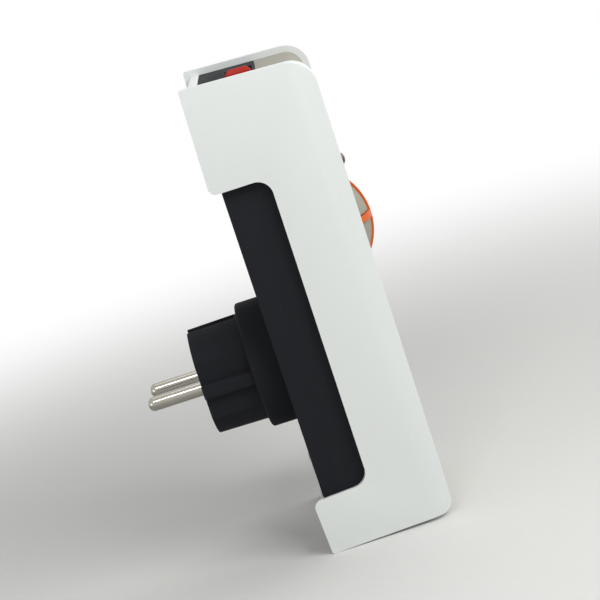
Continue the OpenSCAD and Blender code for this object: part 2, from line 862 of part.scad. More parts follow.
module switch_frame() {
    color(black) on_top() difference() {
        union() {
            block([-frame_x, -frame_y, -switch_depth], [frame_x, frame_y, lip_h]);
            block([-frame_x - lip_over, -frame_y - lip_over, 0],
                  [frame_x + lip_over, frame_y + lip_over, lip_h]);
        }
        block([-frame_in_x, -frame_in_y, -switch_depth + well_floor], [frame_in_x, frame_in_y, lip_h + cut]);
        translate([0, -frame_y - cut, -rocker_pivot]) rotate([-90, 0, 0])
            cylinder(r = stub_r + 0.15, h = 2 * (frame_y + cut));
    }
}

// Red rocker: round ends about its pivot, a shallow valley on top, slanted long edges, and two stubs
module rocker() {
    color("#c0301c") on_top() translate([0, 0, -rocker_pivot]) rotate([0, rocker_tilt, 0]) {
        intersection() {
            translate([0, -rocker_w / 2, 0]) rotate([-90, 0, 0]) cylinder(r = rocker_half, h = rocker_w);
            translate([0, rocker_w / 2, 0]) rotate([90, 0, 0]) linear_extrude(rocker_w) polygon([
                [-rocker_half - cut, rocker_top],
                [0, rocker_mid_h],
                [rocker_half + cut, rocker_top],
                [rocker_half + cut, -2],
                [0, -rocker_belly],
                [-rocker_half - cut, -2]
            ]);
            across(-rocker_half - cut, rocker_half + cut) polygon([
                [-rocker_w / 2, -rocker_half],
                [rocker_w / 2, -rocker_half],
                [rocker_w / 2, rocker_top - rocker_slant],
                [rocker_w / 2 - rocker_slant, rocker_top],
                [rocker_slant - rocker_w / 2, rocker_top],
                [-rocker_w / 2, rocker_top - rocker_slant]
            ]);
        }
        translate([0, -frame_y + 0.1, 0]) rotate([-90, 0, 0]) cylinder(r = stub_r, h = 2 * (frame_y - 0.1));
    }
}

module switch_terminals() {
    color(brass) on_top() for (x = [-6, 0, 6])
        block([x - 0.4, -2.4, -switch_depth - 6], [x + 0.4, 2.4, -switch_depth]);
}

module power_board() {
    color(board_green) difference() {
        block([-board_half, y_board_front, board_low], [board_half, y_board, board_high]);
        for (p = power_screws) rod(screw_hole, y_board_front - cut, y_board + cut, p.x, p.y);
    }
}

// Piece with its back on the power board: left edge, lower edge and its size
module on_board(x, z, size) {
    block([x, y_board_front - size[1], z], [x + size[0], y_board_front, z + size[2]]);
}

module relay() {
    color("#2b4f8c") on_board(-board_half + part_gap, row_low, relay_size);
}

module transformer() {
    color("#d8b23a") on_board(-board_half + 4 * part_gap + shunt_size[0], row_high, transformer_size);
}

module film_capacitor() {
    color("#d9c23e") on_board(board_half - part_gap - capacitor_size[0], row_low, capacitor_size);
}

// Round surge absorber standing on edge
module varistor() {
    color("#2d62a8") translate([board_half - 2 * part_gap - varistor_r, y_board_front - varistor_r, varistor_z])
        cylinder(r = varistor_r, h = varistor_t);
}

// Glass cartridge between two clips
module fuse() {
    color("#cfd4d6") translate([fuse_x, y_board_front - fuse_lift, fuse_z]) rotate([0, 90, 0])
        cylinder(r = fuse_r, h = fuse_len);
}

module fuse_clips() {
    color(nickel) for (x = [fuse_x + part_gap, fuse_x + fuse_len - part_gap - fuse_clip_w]) difference() {
        on_board(x, fuse_z - fuse_r - part_gap,
                 [fuse_clip_w, fuse_lift + fuse_r + 0.4, 2 * (fuse_r + part_gap)]);
        translate([x - cut, y_board_front - fuse_lift, fuse_z]) rotate([0, 90, 0])
            cylinder(r = fuse_r + 0.02, h = fuse_clip_w + 2 * cut);
    }
}

// Current sensing strip bent over the board
module shunt() {
    x = -board_half + part_gap;
    color("#b87348") difference() {
        on_board(x, row_high, shunt_size);
        block([x + shunt_t, y_board_front - shunt_size[1] + shunt_t, row_high - cut],
              [x + shunt_size[0] - shunt_t, y_board_front + cut, row_high + shunt_size[2] + cut]);
    }
}

module controller_chip() {
    color("#1d1e20") on_board(board_half - 4 * part_gap - chip_size[0], row_high, chip_size);
}

module backup_cell() {
    color(nickel) rod(cell_r, y_display_back, y_display_back + cell_t,
                      board_half - 3 * screw_edge - cell_r, display_z);
}

module housing_screws() {
    color("#b9bbbd") for (p = cap_screws) {
        rod(cap_head_r, y_cap - cap_head_t, y_cap - 0.3, p.x, p.y);
        rod(housing_screw_r, y_shell_rear - shell_t - post_len + 1, y_cap - cap_head_t + root, p.x, p.y);
    }
}

module board_screws() {
    color("#b9bbbd") {
        for (p = power_screws) {
            rod(screw_head_r, y_board_front - screw_head_t, y_board_front, p.x, p.y);
            rod(board_screw_r, y_board_front - root, wall_in(p.y) - 0.8, p.x, p.y);
        }
        for (p = display_screws) {
            rod(screw_head_r, y_display_back, y_display_back + screw_head_t, p.x, p.y);
            rod(board_screw_r, y_fascia_in + 0.6, y_display_back + root, p.x, p.y);
        }
    }
}

left_cheek();
right_cheek();
upper_rear_cap();
lower_rear_cap();
fascia();
rear_housing();
plug_body();
line_pin();
neutral_pin();
plug_earth_clips();
outlet_cup();
outlet_floor();
line_sleeve();
neutral_sleeve();
outlet_earth_clips();
earth_straps();
live_inlet_bar();
live_outlet_bar();
neutral_bar();
display_window();
lcd_panel();
backlight();
display_board();
status_lamp();
keypad_bezel();
key_upper_right();
key_lower_right();
key_lower_left();
key_upper_left();
keypad_mat();
switch_frame();
rocker();
switch_terminals();
power_board();
relay();
transformer();
film_capacitor();
varistor();
fuse();
fuse_clips();
shunt();
controller_chip();
backup_cell();
housing_screws();
board_screws();
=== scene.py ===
"""Plug-in power meter: the finished look of every piece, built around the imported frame."""

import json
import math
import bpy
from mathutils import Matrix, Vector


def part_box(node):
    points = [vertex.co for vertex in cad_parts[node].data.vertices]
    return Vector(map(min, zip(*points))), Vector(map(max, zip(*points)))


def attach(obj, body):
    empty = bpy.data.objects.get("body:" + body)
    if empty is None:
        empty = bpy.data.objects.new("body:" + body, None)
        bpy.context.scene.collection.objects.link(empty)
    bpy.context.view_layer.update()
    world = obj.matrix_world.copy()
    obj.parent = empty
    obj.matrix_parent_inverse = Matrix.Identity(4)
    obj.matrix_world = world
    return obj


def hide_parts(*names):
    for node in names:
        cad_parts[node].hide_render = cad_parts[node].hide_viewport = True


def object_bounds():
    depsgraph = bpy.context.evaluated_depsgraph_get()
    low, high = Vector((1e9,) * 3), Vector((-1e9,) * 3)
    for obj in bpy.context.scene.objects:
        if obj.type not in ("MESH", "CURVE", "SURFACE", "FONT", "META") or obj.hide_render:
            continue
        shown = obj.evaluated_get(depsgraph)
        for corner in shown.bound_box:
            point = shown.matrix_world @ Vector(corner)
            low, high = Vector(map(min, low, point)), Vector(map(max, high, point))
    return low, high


bl_info = {
    "name": "Plug-in Power Meter",
    "version": (1, 0, 0),
    "blender": (4, 5, 0),
    "location": "View3D > Sidebar > Meter",
    "description": "Dresses the frame of a plug-in power meter with its moulded and metal pieces",
    "category": "Object",
}

import bmesh
import bpy
from bpy.props import FloatProperty, IntProperty, PointerProperty, StringProperty
from mathutils import Matrix, Vector

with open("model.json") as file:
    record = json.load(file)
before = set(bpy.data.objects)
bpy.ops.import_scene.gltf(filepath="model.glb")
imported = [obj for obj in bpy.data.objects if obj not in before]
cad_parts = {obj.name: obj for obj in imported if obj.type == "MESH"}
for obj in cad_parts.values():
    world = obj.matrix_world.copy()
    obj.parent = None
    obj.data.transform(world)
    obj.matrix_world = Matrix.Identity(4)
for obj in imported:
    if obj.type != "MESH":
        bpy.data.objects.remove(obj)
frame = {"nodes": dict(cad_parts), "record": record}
CAD_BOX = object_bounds()
MM = 0.001
HOUSING = "housing"
WHITE = (1, 1, 1, 1)

# How near two points are to be one, a point to lie on a plane, and a cut to pass through a point
WELD = 0.001 * MM
TOUCH = 0.01 * MM
CUT = 0.0001 * MM
# Faces that meet at less than this are one flat face
FLAT = math.radians(0.5)

# Sockets of a colour mix node: its share, its two colours and its result
MIX_SHARE, MIX_LOW, MIX_HIGH, MIX_OUT = 0, 6, 7, 2


# Values a user would change

def length(name, description, mm):
    """A length property, given in millimetres and kept in metres."""
    return FloatProperty(name=name, description=description, default=mm * MM, precision=5,
                         unit="LENGTH", subtype="DISTANCE")


def angle(name, description, degrees):
    """An angle property, given in degrees and kept in radians."""
    return FloatProperty(name=name, description=description, default=math.radians(degrees), precision=4,
                         unit="ROTATION", subtype="ANGLE")


def tint(name, description, hex_colour):
    """A colour property, kept as sRGB hex."""
    return StringProperty(name=name, description=description, default=hex_colour)


class MeterSizes(bpy.types.PropertyGroup):
    """Sizes of the dressed pieces"""
    end_draft: length("Top draft", "How far the top draws in towards the front", 2.1)
    bottom_draft: length("Bottom draft", "How far the bottom draws in towards the front", 1.5)
    rear_flare: length("Rear flare", "How far the rear edge flares beside the notch", 0.9)
    cheek_t: length("Cheek thickness", "Thickness of a side cheek", 3.0)
    notch_top: length("Notch top", "Plug axis up to the notch's upper edge", 63.0)
    notch_bottom: length("Notch bottom", "Plug axis down to the notch's lower edge", 41.0)
    notch_depth: length("Notch depth", "Depth of the notch from the rear edge", 19.2)
    front_top_r: length("Top corner", "Outer corner radius at the top of the front edge", 10.0)
    front_top_in: length("Top corner inside", "The same corner's radius on the inner face", 8.0)
    front_bottom_r: length("Bottom corner", "Corner radius at the foot of the front edge", 5.0)
    notch_top_r: length("Notch top radius", "Radius inside the notch at its top", 5.0)
    notch_r: length("Notch foot radius", "Radius inside the notch at its foot", 4.8)
    foot_slope: length("Foot slope", "How far the notch's foot falls towards the inside", 0.55)
    foot_fall: length("Foot fall", "How far the notch's foot falls towards the rear", 0.8)
    block_r: length("Block radius", "Radius of the corners beside the notch", 2.5)
    end_r: length("End radius", "Radius of the rear end corners", 0.8)
    roll_depth: length("Roll depth", "Depth of the roll along a cheek's front edge", 7.5)
    roll_fall: length("Roll fall", "How far the roll falls towards the middle", 1.6)
    cheek_edge: length("Cheek edge", "Edge radius of a cheek", 0.7)
    digit_h: length("Digit height", "Height of a display digit", 9.0)
    mask_w: length("Window mask", "Width of the printed border of the window", 2.2)
    screw_head_r: length("Screw head", "Radius of a housing screw's head", 2.8)
    screw_head_t: length("Screw head thickness", "Thickness of a housing screw's head", 1.7)
    screw_r: length("Screw shank", "Radius of a housing screw's shank", 1.4)
    rocker_valley: length("Rocker valley", "Height of the rocker's middle above its axis", 1.5)
    rocker_tilt: angle("Rocker tilt", "Tilt of the rocker at rest", 8.0)
    rocker_slope: angle("Rocker slope", "Slope of the rocker's faces to its middle", 5.2)


class MeterColours(bpy.types.PropertyGroup):
    """Colours of the finishes"""
    white: tint("White", "Side cheeks and rear caps", "#E3E7E5")
    grey: tint("Warm grey", "Fascia and outlet", "#9F9B8F")
    black: tint("Black", "Rear housing and plug", "#202125")
    key: tint("Key grey", "Keys", "#9A988A")
    orange: tint("Orange", "Key pad ring and ribs", "#DE6420")
    red: tint("Red", "Rocker", "#B4200F")
    lamp: tint("Lamp red", "Indicator lens", "#4A0C10")
    nickel: tint("Nickel", "Pins and clips", "#A6A39A")
    brass: tint("Brass", "Sleeves, straps and bars", "#C9A14E")
    floor: tint("Floor", "Floor under the object", "#E2E2DF")


class MeterView(bpy.types.PropertyGroup):
    """The photograph's viewpoint"""
    azimuth: angle("Azimuth", "Turn from the left side towards the front", 1.7774)
    elevation: angle("Elevation", "Height of the view above the plug's level", 11.2808)
    roll: angle("Roll", "Lean of the object to the left", 18.3227)
    distance: length("Distance", "Depth of the plug's face", 691.37)
    lens: FloatProperty(name="Lens", description="Focal length on a 36 mm sensor",
                        default=124.03, unit="CAMERA")
    frame_px: IntProperty(name="Frame", description="Width of the square picture",
                          default=600, subtype="PIXEL")
    plug_px_x: FloatProperty(name="Plug across", description="Plug face's centre from the left",
                             default=203.80, subtype="PIXEL")
    plug_px_y: FloatProperty(name="Plug down", description="Plug face's centre from the top",
                             default=381.27, subtype="PIXEL")


def sizes():
    """The scene's sizes."""
    return bpy.context.scene.meter_sizes


def colours():
    """The scene's colours."""
    return bpy.context.scene.meter_colours


# Materials

def linear(hex_colour):
    """sRGB hex to linear RGBA."""
    parts = [int(hex_colour[i:i + 2], 16) / 255 for i in (1, 3, 5)]
    return tuple(p / 12.92 if p <= 0.04045 else ((p + 0.055) / 1.055) ** 2.4 for p in parts) + (1.0,)


def shaded(hex_colour, factor):
    """The linear colour of a hex value, darkened or lightened by a factor."""
    return tuple(min(c * factor, 1.0) for c in linear(hex_colour)[:3]) + (1.0,)


def add(tree, kind, inputs=None, **settings):
    """Add one node. An input given as a socket is linked, and any other value is set."""
    item = tree.nodes.new(kind)
    for name, value in settings.items():
        setattr(item, name, value)
    for name, value in (inputs or {}).items():
        if isinstance(value, bpy.types.NodeSocket):
            tree.links.new(value, item.inputs[name])
        else:
            item.inputs[name].default_value = value
    return item


def per_mm(size_mm):
    """Texture scale, per metre, of a feature of that size."""
    return 1 / (size_mm * MM)


def new_material(name):
    """An empty node material and its tree, or None for the tree if it exists already."""
    if name in bpy.data.materials:
        return bpy.data.materials[name], None
    mat = bpy.data.materials.new(name)
    mat.use_nodes = True
    mat.node_tree.nodes.clear()
    return mat, mat.node_tree


def moulded(name, hex_colour, roughness, grain_mm, grain_depth_mm, tone, gloss_level=0.5):
    """Injection-moulded plastic: a spark-eroded grain that softens the gloss, with faint
    flow tones over the panel. The grain is drawn coarser than the real 0.1 mm so that it shows."""
    mat, tree = new_material(name)
    if tree is None:
        return mat
    place = add(tree, "ShaderNodeTexCoord").outputs["Object"]
    flow_mm, handling_mm, gloss_spread = 38, 5, 0.05
    flow = add(tree, "ShaderNodeTexNoise", {"Vector": place, "Scale": per_mm(flow_mm), "Detail": 3.0})
    colour = add(tree, "ShaderNodeMix", {MIX_SHARE: flow.outputs["Fac"],
                                         MIX_LOW: shaded(hex_colour, 1 - tone),
                                         MIX_HIGH: shaded(hex_colour, 1 + tone)}, data_type="RGBA")
    handling = add(tree, "ShaderNodeTexNoise", {"Vector": place, "Scale": per_mm(handling_mm),
                                                "Detail": 4.0})
    rough = add(tree, "ShaderNodeMapRange", {"Value": handling.outputs["Fac"],
                                             "To Min": roughness - gloss_spread,
                                             "To Max": roughness + gloss_spread})
    grain = add(tree, "ShaderNodeTexNoise", {"Vector": place, "Scale": per_mm(grain_mm), "Detail": 2.0})
    bump = add(tree, "ShaderNodeBump", {"Height": grain.outputs["Fac"], "Strength": 0.6,
                                        "Distance": grain_depth_mm * MM})
    plastic = add(tree, "ShaderNodeBsdfPrincipled", {
        "Base Color": colour.outputs[MIX_OUT], "Roughness": rough.outputs["Result"], "IOR": 1.5,
        "Normal": bump.outputs["Normal"], "Specular IOR Level": gloss_level})
    add(tree, "ShaderNodeOutputMaterial", {"Surface": plastic.outputs["BSDF"]})
    return mat


def plated(name, hex_colour, roughness, stretch):
    """Drawn or rolled metal: bright, with fine lines along its length and a faintly clouded tone.
    The lines are drawn coarser than the real hundredths of a millimetre so that they show."""
    mat, tree = new_material(name)
    if tree is None:
        return mat
    place = add(tree, "ShaderNodeTexCoord").outputs["Object"]
    line_mm, line_depth_mm, cloud_mm = 0.5, 0.01, 6
    dull, bright = 0.88, 1.06
    along = add(tree, "ShaderNodeMapping", {"Vector": place, "Scale": stretch})
    lines = add(tree, "ShaderNodeTexNoise", {"Vector": along.outputs["Vector"],
                                             "Scale": per_mm(line_mm), "Detail": 3.0})
    cloud = add(tree, "ShaderNodeTexNoise", {"Vector": place, "Scale": per_mm(cloud_mm), "Detail": 3.0})
    colour = add(tree, "ShaderNodeMix", {MIX_SHARE: cloud.outputs["Fac"],
                                         MIX_LOW: shaded(hex_colour, dull),
                                         MIX_HIGH: shaded(hex_colour, bright)}, data_type="RGBA")
    rough = add(tree, "ShaderNodeMapRange", {"Value": lines.outputs["Fac"], "To Min": roughness - 0.06,
                                             "To Max": roughness + 0.1})
    bump = add(tree, "ShaderNodeBump", {"Height": lines.outputs["Fac"], "Strength": 0.25,
                                        "Distance": line_depth_mm * MM})
    metal = add(tree, "ShaderNodeBsdfPrincipled", {
        "Base Color": colour.outputs[MIX_OUT], "Metallic": 1.0, "Roughness": rough.outputs["Result"],
        "Normal": bump.outputs["Normal"]})
    add(tree, "ShaderNodeOutputMaterial", {"Surface": metal.outputs["BSDF"]})
    return mat


def white_abs():
    """ABS, moulded: cool white with a fine satin grain."""
    return moulded("abs_moulded_white", colours().white, roughness=0.46,
                   grain_mm=0.45, grain_depth_mm=0.01, tone=0.012)


def grey_abs():
    """ABS, moulded: warm grey with a slightly coarser grain."""
    return moulded("abs_moulded_warm_grey", colours().grey, roughness=0.6,
                   grain_mm=0.6, grain_depth_mm=0.02, tone=0.03, gloss_level=0.2)


def black_nylon():
    """Glass-filled nylon, moulded: matte black."""
    return moulded("nylon_moulded_black", colours().black, roughness=0.75,
                   grain_mm=0.7, grain_depth_mm=0.015, tone=0.10, gloss_level=0.1)


def key_plastic():
    """Soft-touch coated keys: matte grey."""
    return moulded("key_soft_touch_grey", colours().key, roughness=0.62,
                   grain_mm=0.4, grain_depth_mm=0.012, tone=0.03)


def orange_abs():
    """ABS, moulded: satin orange."""
    return moulded("abs_moulded_orange", colours().orange, roughness=0.4,
                   grain_mm=0.4, grain_depth_mm=0.008, tone=0.04, gloss_level=0.2)


def red_polycarbonate():
    """Polycarbonate, moulded and polished: glossy red."""
    return moulded("polycarbonate_polished_red", colours().red, roughness=0.34,
                   grain_mm=0.8, grain_depth_mm=0.004, tone=0.06, gloss_level=0.18)


def nickel_plate():
    """Nickel on drawn brass: a warm bright grey, with lines along the pins."""
    return plated("nickel_plated_brass", colours().nickel, roughness=0.14, stretch=(1.0, 0.06, 1.0))


def bare_brass():
    """Brass, rolled into strip: warm yellow and satin, with lines up the bars."""
    return plated("brass_rolled", colours().brass, roughness=0.3, stretch=(1.0, 1.0, 0.08))


def zinc_steel():
    """Steel, turned and zinc-plated: a cool pale grey with a soft shine."""
    return plated("steel_zinc_plated", "#B9BBBE", roughness=0.3, stretch=(1.0, 0.3, 1.0))


def lamp_lens():
    """Tinted epoxy lens: dark red, deep and glossy, with a faint cloud inside."""
    mat, tree = new_material("epoxy_lens_dark_red")
    if tree is None:
        return mat
    place = add(tree, "ShaderNodeTexCoord").outputs["Object"]
    cloud = add(tree, "ShaderNodeTexNoise", {"Vector": place, "Scale": per_mm(3), "Detail": 2.0})
    colour = add(tree, "ShaderNodeMix", {MIX_SHARE: cloud.outputs["Fac"],
                                         MIX_LOW: shaded(colours().lamp, 0.8),
                                         MIX_HIGH: shaded(colours().lamp, 1.5)}, data_type="RGBA")
    lens = add(tree, "ShaderNodeBsdfPrincipled", {
        "Base Color": colour.outputs[MIX_OUT], "Roughness": 0.08, "IOR": 1.54,
        "Coat Weight": 0.6, "Coat Roughness": 0.04})
    add(tree, "ShaderNodeOutputMaterial", {"Surface": lens.outputs["BSDF"]})
    return mat


def acrylic_window():
    """Cast acrylic: clear, with a trace of smoke and faint wipe marks in its gloss."""
    mat, tree = new_material("acrylic_cast_clear")
    if tree is None:
        return mat
    place = add(tree, "ShaderNodeTexCoord").outputs["Object"]
    wipe = add(tree, "ShaderNodeMapping", {"Vector": place, "Scale": (0.15, 1.0, 1.0)})
    marks = add(tree, "ShaderNodeTexNoise", {"Vector": wipe.outputs["Vector"], "Scale": per_mm(4),
                                             "Detail": 4.0})
    rough = add(tree, "ShaderNodeMapRange", {"Value": marks.outputs["Fac"], "To Min": 0.01,
                                             "To Max": 0.07})
    clear = add(tree, "ShaderNodeBsdfPrincipled", {
        "Base Color": linear("#DDE3E2"), "Roughness": rough.outputs["Result"], "IOR": 1.49,
        "Transmission Weight": 1.0})
    add(tree, "ShaderNodeOutputMaterial", {"Surface": clear.outputs["BSDF"]})
    return mat


def display_glass():
    """Reflective liquid crystal cell: pale grey-green, a little uneven."""
    return moulded("liquid_crystal_cell", "#A9B29A", roughness=0.3,
                   grain_mm=1.2, grain_depth_mm=0.002, tone=0.03)


def segment_ink():
    """Switched display segments: near black with a blue cast."""
    return moulded("liquid_crystal_segment", "#23262C", roughness=0.4,
                   grain_mm=0.8, grain_depth_mm=0.002, tone=0.05)


def mask_ink():
    """Screen-printed border behind the window: matte black."""
    return moulded("screen_print_black", "#17181A", roughness=0.6,
                   grain_mm=0.5, grain_depth_mm=0.004, tone=0.06)


def solder_mask():
    """Glass-epoxy board under solder mask: satin green, a little uneven."""
    return moulded("glass_epoxy_solder_mask", "#1F5C3A", roughness=0.35,
                   grain_mm=1.5, grain_depth_mm=0.01, tone=0.12)


def rubber_mat():
    """Silicone rubber, moulded: dark grey and matte."""
    return moulded("silicone_moulded_dark", "#2F3133", roughness=0.7,
                   grain_mm=0.6, grain_depth_mm=0.01, tone=0.05)


def case_plastic(name, hex_colour):
    """Moulded case of a component: smooth, with a soft gloss."""
    return moulded(name, hex_colour, roughness=0.35, grain_mm=0.8, grain_depth_mm=0.006, tone=0.05)


# Shaping

def new_piece(name, bm, material, replaced=(), body=HOUSING, sharp=35):
    """Turn a bmesh into a piece that rides on a body."""
    mesh = bpy.data.meshes.new(name)
    for face in bm.faces:
        face.smooth = True
    bm.to_mesh(mesh)
    bm.free()
    mesh.set_sharp_from_angle(angle=math.radians(sharp))
    mesh.materials.append(material)
    piece = bpy.data.objects.new(name, mesh)
    bpy.context.scene.collection.objects.link(piece)
    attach(piece, body)
    if replaced:
        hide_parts(*replaced)


def paint(node, material):
    """Give a carried-over node its finished material."""
    for item in frame["nodes"][node].material_slots:
        item.material = material


def any_edge(edge):
    """Choose every edge."""
    return True


def outer_edge(edge):
    """Choose the edges that stick out."""
    return edge.is_convex


def sharp_edges(bm, degrees, keep=any_edge):
    """The chosen edges whose faces meet at more than an angle."""
    limit = math.radians(degrees)
    return [e for e in bm.edges if len(e.link_faces) == 2 and e.calc_face_angle(0) > limit and keep(e)]


def round_edges(bm, edges, radius, segments=3, clamp=True):
    """Round a set of edges to a radius, cut back where they would meet if clamped."""
    bmesh.ops.bevel(bm, geom=edges, offset=radius, offset_type="OFFSET", segments=segments,
                    profile=0.5, affect="EDGES", clamp_overlap=clamp, material=-1)


def softened(node, material, radius_mm, body=HOUSING, degrees=30, keep=any_edge, clamp=True,
             sharp=35):
    """A copy of a node with merged faces and rounded edges, which replaces it."""
    bm = bmesh.new()
    bm.from_mesh(frame["nodes"][node].data)
    bmesh.ops.remove_doubles(bm, verts=bm.verts, dist=WELD)
    bmesh.ops.dissolve_limit(bm, angle_limit=FLAT, verts=bm.verts, edges=bm.edges, delimit={"NORMAL"})
    round_edges(bm, sharp_edges(bm, degrees, keep), radius_mm * MM, clamp=clamp)
    new_piece(node + "_moulding", bm, material, (node,), body, sharp)


def points(geometry):
    """The vertices among what an operator returned."""
    return [item for item in geometry if isinstance(item, bmesh.types.BMVert)]


def slab(bm, low, high):
    """A box between two corners, in metres."""
    low, high = Vector(low), Vector(high)
    move = Matrix.Translation((low + high) / 2) @ Matrix.Diagonal((*(high - low), 1.0))
    bmesh.ops.create_cube(bm, size=1.0, matrix=move)


# Pieces

class METER_OT_cheeks(bpy.types.Operator):
    """Build the two white side cheeks with their rolled front edges"""
    bl_idname = "meter.cheeks"
    bl_label = "Side Cheeks"

    CORNER_STEPS = 10
    ROLL_STEPS = 8
    # Above one, the roll starts flat and steepens towards the edge
    ROLL_POWER = 1.3
    RIM_DEGREES = 40
    RIM_STEPS = 4
    # Small margins on the lengths that tell which points belong to the rim and to a corner
    RIM_MARGIN = 1.05
    CORNER_MARGIN = 1.1

    def execute(self, context):
        for node, side in (("left_cheek", -1), ("right_cheek", 1)):
            self.cheek(node, side)
        return {"FINISHED"}

    def cheek(self, node, side):
        """One cheek: a flat outline, thickened, with its corner, foot, roll and rim shaped in turn."""
        s = sizes()
        low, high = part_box(node)
        outer = low[0] if side < 0 else high[0]
        front, flared = low[1], high[1]
        rear = flared - s.rear_flare
        notch_y = flared - s.notch_depth
        corners = (
            ((rear, high[2]), s.end_r),
            ((front, high[2] - s.end_draft), s.front_top_r),
            ((front, low[2] + s.bottom_draft), s.front_bottom_r),
            ((rear, low[2]), s.end_r),
            ((flared, -s.notch_bottom), s.block_r),
            ((notch_y, -s.notch_bottom), s.notch_r),
            ((notch_y, s.notch_top), s.notch_top_r),
            ((flared, s.notch_top), s.block_r),
        )
        bm = bmesh.new()
        verts = [bm.verts.new((outer, y, z)) for (y, z), _ in corners]
        bm.faces.new(verts)
        self.round_corners(bm, verts, corners)
        self.thicken(bm, -side * s.cheek_t)
        self.fill_corner(bm, Vector((outer - side * s.cheek_t, front, high[2] - s.end_draft)))
        self.slope_foot(bm, outer, notch_y)
        self.roll_front(bm, outer, side, front)
        reach = s.roll_fall * self.RIM_MARGIN
        rim = sharp_edges(bm, self.RIM_DEGREES,
                          lambda edge: all(abs(v.co.x - outer) < reach for v in edge.verts))
        round_edges(bm, rim, s.cheek_edge, self.RIM_STEPS)
        bmesh.ops.dissolve_degenerate(bm, dist=WELD, edges=bm.edges)
        new_piece(node + "_moulding", bm, white_abs(), (node,))

    def round_corners(self, bm, verts, corners):
        """Round each corner of the flat outline to its own radius."""
        count = len(corners)
        for i, vert in enumerate(verts):
            here = Vector(corners[i][0])
            u = (Vector(corners[i - 1][0]) - here).normalized()
            v = (Vector(corners[(i + 1) % count][0]) - here).normalized()
            reach = corners[i][1] / math.tan(u.angle(v) / 2)
            bmesh.ops.bevel(bm, geom=[vert], offset=reach, offset_type="OFFSET",
                            segments=self.CORNER_STEPS, profile=0.5, affect="VERTICES",
                            clamp_overlap=False, material=-1)

    def thicken(self, bm, depth):
        """Extrude the outline into a plate."""
        grown = bmesh.ops.extrude_face_region(bm, geom=bm.faces[:])["geom"]
        bmesh.ops.translate(bm, verts=points(grown), vec=(depth, 0, 0))
        bmesh.ops.recalc_face_normals(bm, faces=bm.faces)

    def fill_corner(self, bm, corner):
        """Tighten the top front corner on the inner face, so that its outer edge rolls away."""
        s = sizes()
        for vert in bm.verts:
            away = vert.co - corner
            if abs(away.x) < TOUCH and away.length < s.front_top_r * self.CORNER_MARGIN:
                vert.co = corner + away * (s.front_top_in / s.front_top_r)

    def slope_foot(self, bm, outer, notch_y):
        """Let the notch's foot fall towards the rear and, from its corner on, towards the inside."""
        s = sizes()
        lowest = -s.block_r * self.CORNER_MARGIN
        highest = s.notch_r * self.CORNER_MARGIN
        for vert in bm.verts:
            above = vert.co.z + s.notch_bottom
            if vert.co.y < notch_y or not lowest < above < highest:
                continue
            along = vert.co.y - notch_y - s.notch_r
            fall = s.foot_fall * max(along, 0) / (s.notch_depth - s.notch_r)
            if abs(vert.co.x - outer) > s.cheek_t / 2:
                fall += s.foot_slope * min(1 + along / s.notch_r, 1)
            vert.co.z -= fall

    def roll_front(self, bm, outer, side, front):
        """Let the outer face fall away towards the front edge."""
        s = sizes()
        depth = s.roll_depth
        for k in range(1, self.ROLL_STEPS + 1):
            line = front + depth * k / self.ROLL_STEPS
            bmesh.ops.bisect_plane(bm, geom=bm.verts[:] + bm.edges[:] + bm.faces[:], dist=CUT,
                                   plane_co=(0, line, 0), plane_no=(0, 1, 0))
        for vert in bm.verts:
            share = (front + depth - vert.co.y) / depth
            if share > 0 and abs(vert.co.x - outer) < TOUCH:
                vert.co.x -= side * s.roll_fall * share ** self.ROLL_POWER


class METER_OT_mouldings(bpy.types.Operator):
    """Finish the rear caps, the fascia, the rear housing and the outlet"""
    bl_idname = "meter.mouldings"
    bl_label = "Housing Mouldings"

    def execute(self, context):
        for node in ("upper_rear_cap", "lower_rear_cap"):
            softened(node, white_abs(), radius_mm=0.4, keep=outer_edge, clamp=False)
        softened("fascia", grey_abs(), radius_mm=0.35, keep=outer_edge)
        softened("rear_housing", black_nylon(), radius_mm=0.5)
        softened("outlet_cup", grey_abs(), radius_mm=0.35, keep=outer_edge)
        paint("outlet_floor", grey_abs())
        for node in ("line_sleeve", "neutral_sleeve", "earth_straps", "live_inlet_bar",
                     "live_outlet_bar", "neutral_bar", "switch_terminals"):
            paint(node, bare_brass())
        softened("outlet_earth_clips", nickel_plate(), radius_mm=0.2)
        return {"FINISHED"}


class METER_OT_plug(bpy.types.Operator):
    """Finish the plug's body, pins and earth clips"""
    bl_idname = "meter.plug"
    bl_label = "Mains Plug"

    def execute(self, context):
        softened("plug_body", black_nylon(), radius_mm=0.3)
        softened("plug_earth_clips", nickel_plate(), radius_mm=0.2)
        for node in ("line_pin", "neutral_pin"):
            paint(node, nickel_plate())
        return {"FINISHED"}


class METER_OT_keypad(bpy.types.Operator):
    """Finish the domed key pad with its four keys, and the lamp"""
    bl_idname = "meter.keypad"
    bl_label = "Key Pad"

    def execute(self, context):
        softened("keypad_bezel", orange_abs(), radius_mm=0.25)
        for node in ("key_upper_right", "key_lower_right", "key_lower_left", "key_upper_left"):
            softened(node, key_plastic(), radius_mm=0.35, body=node + "_body",
                     keep=outer_edge)
        paint("keypad_mat", rubber_mat())
        paint("status_lamp", lamp_lens())
        return {"FINISHED"}


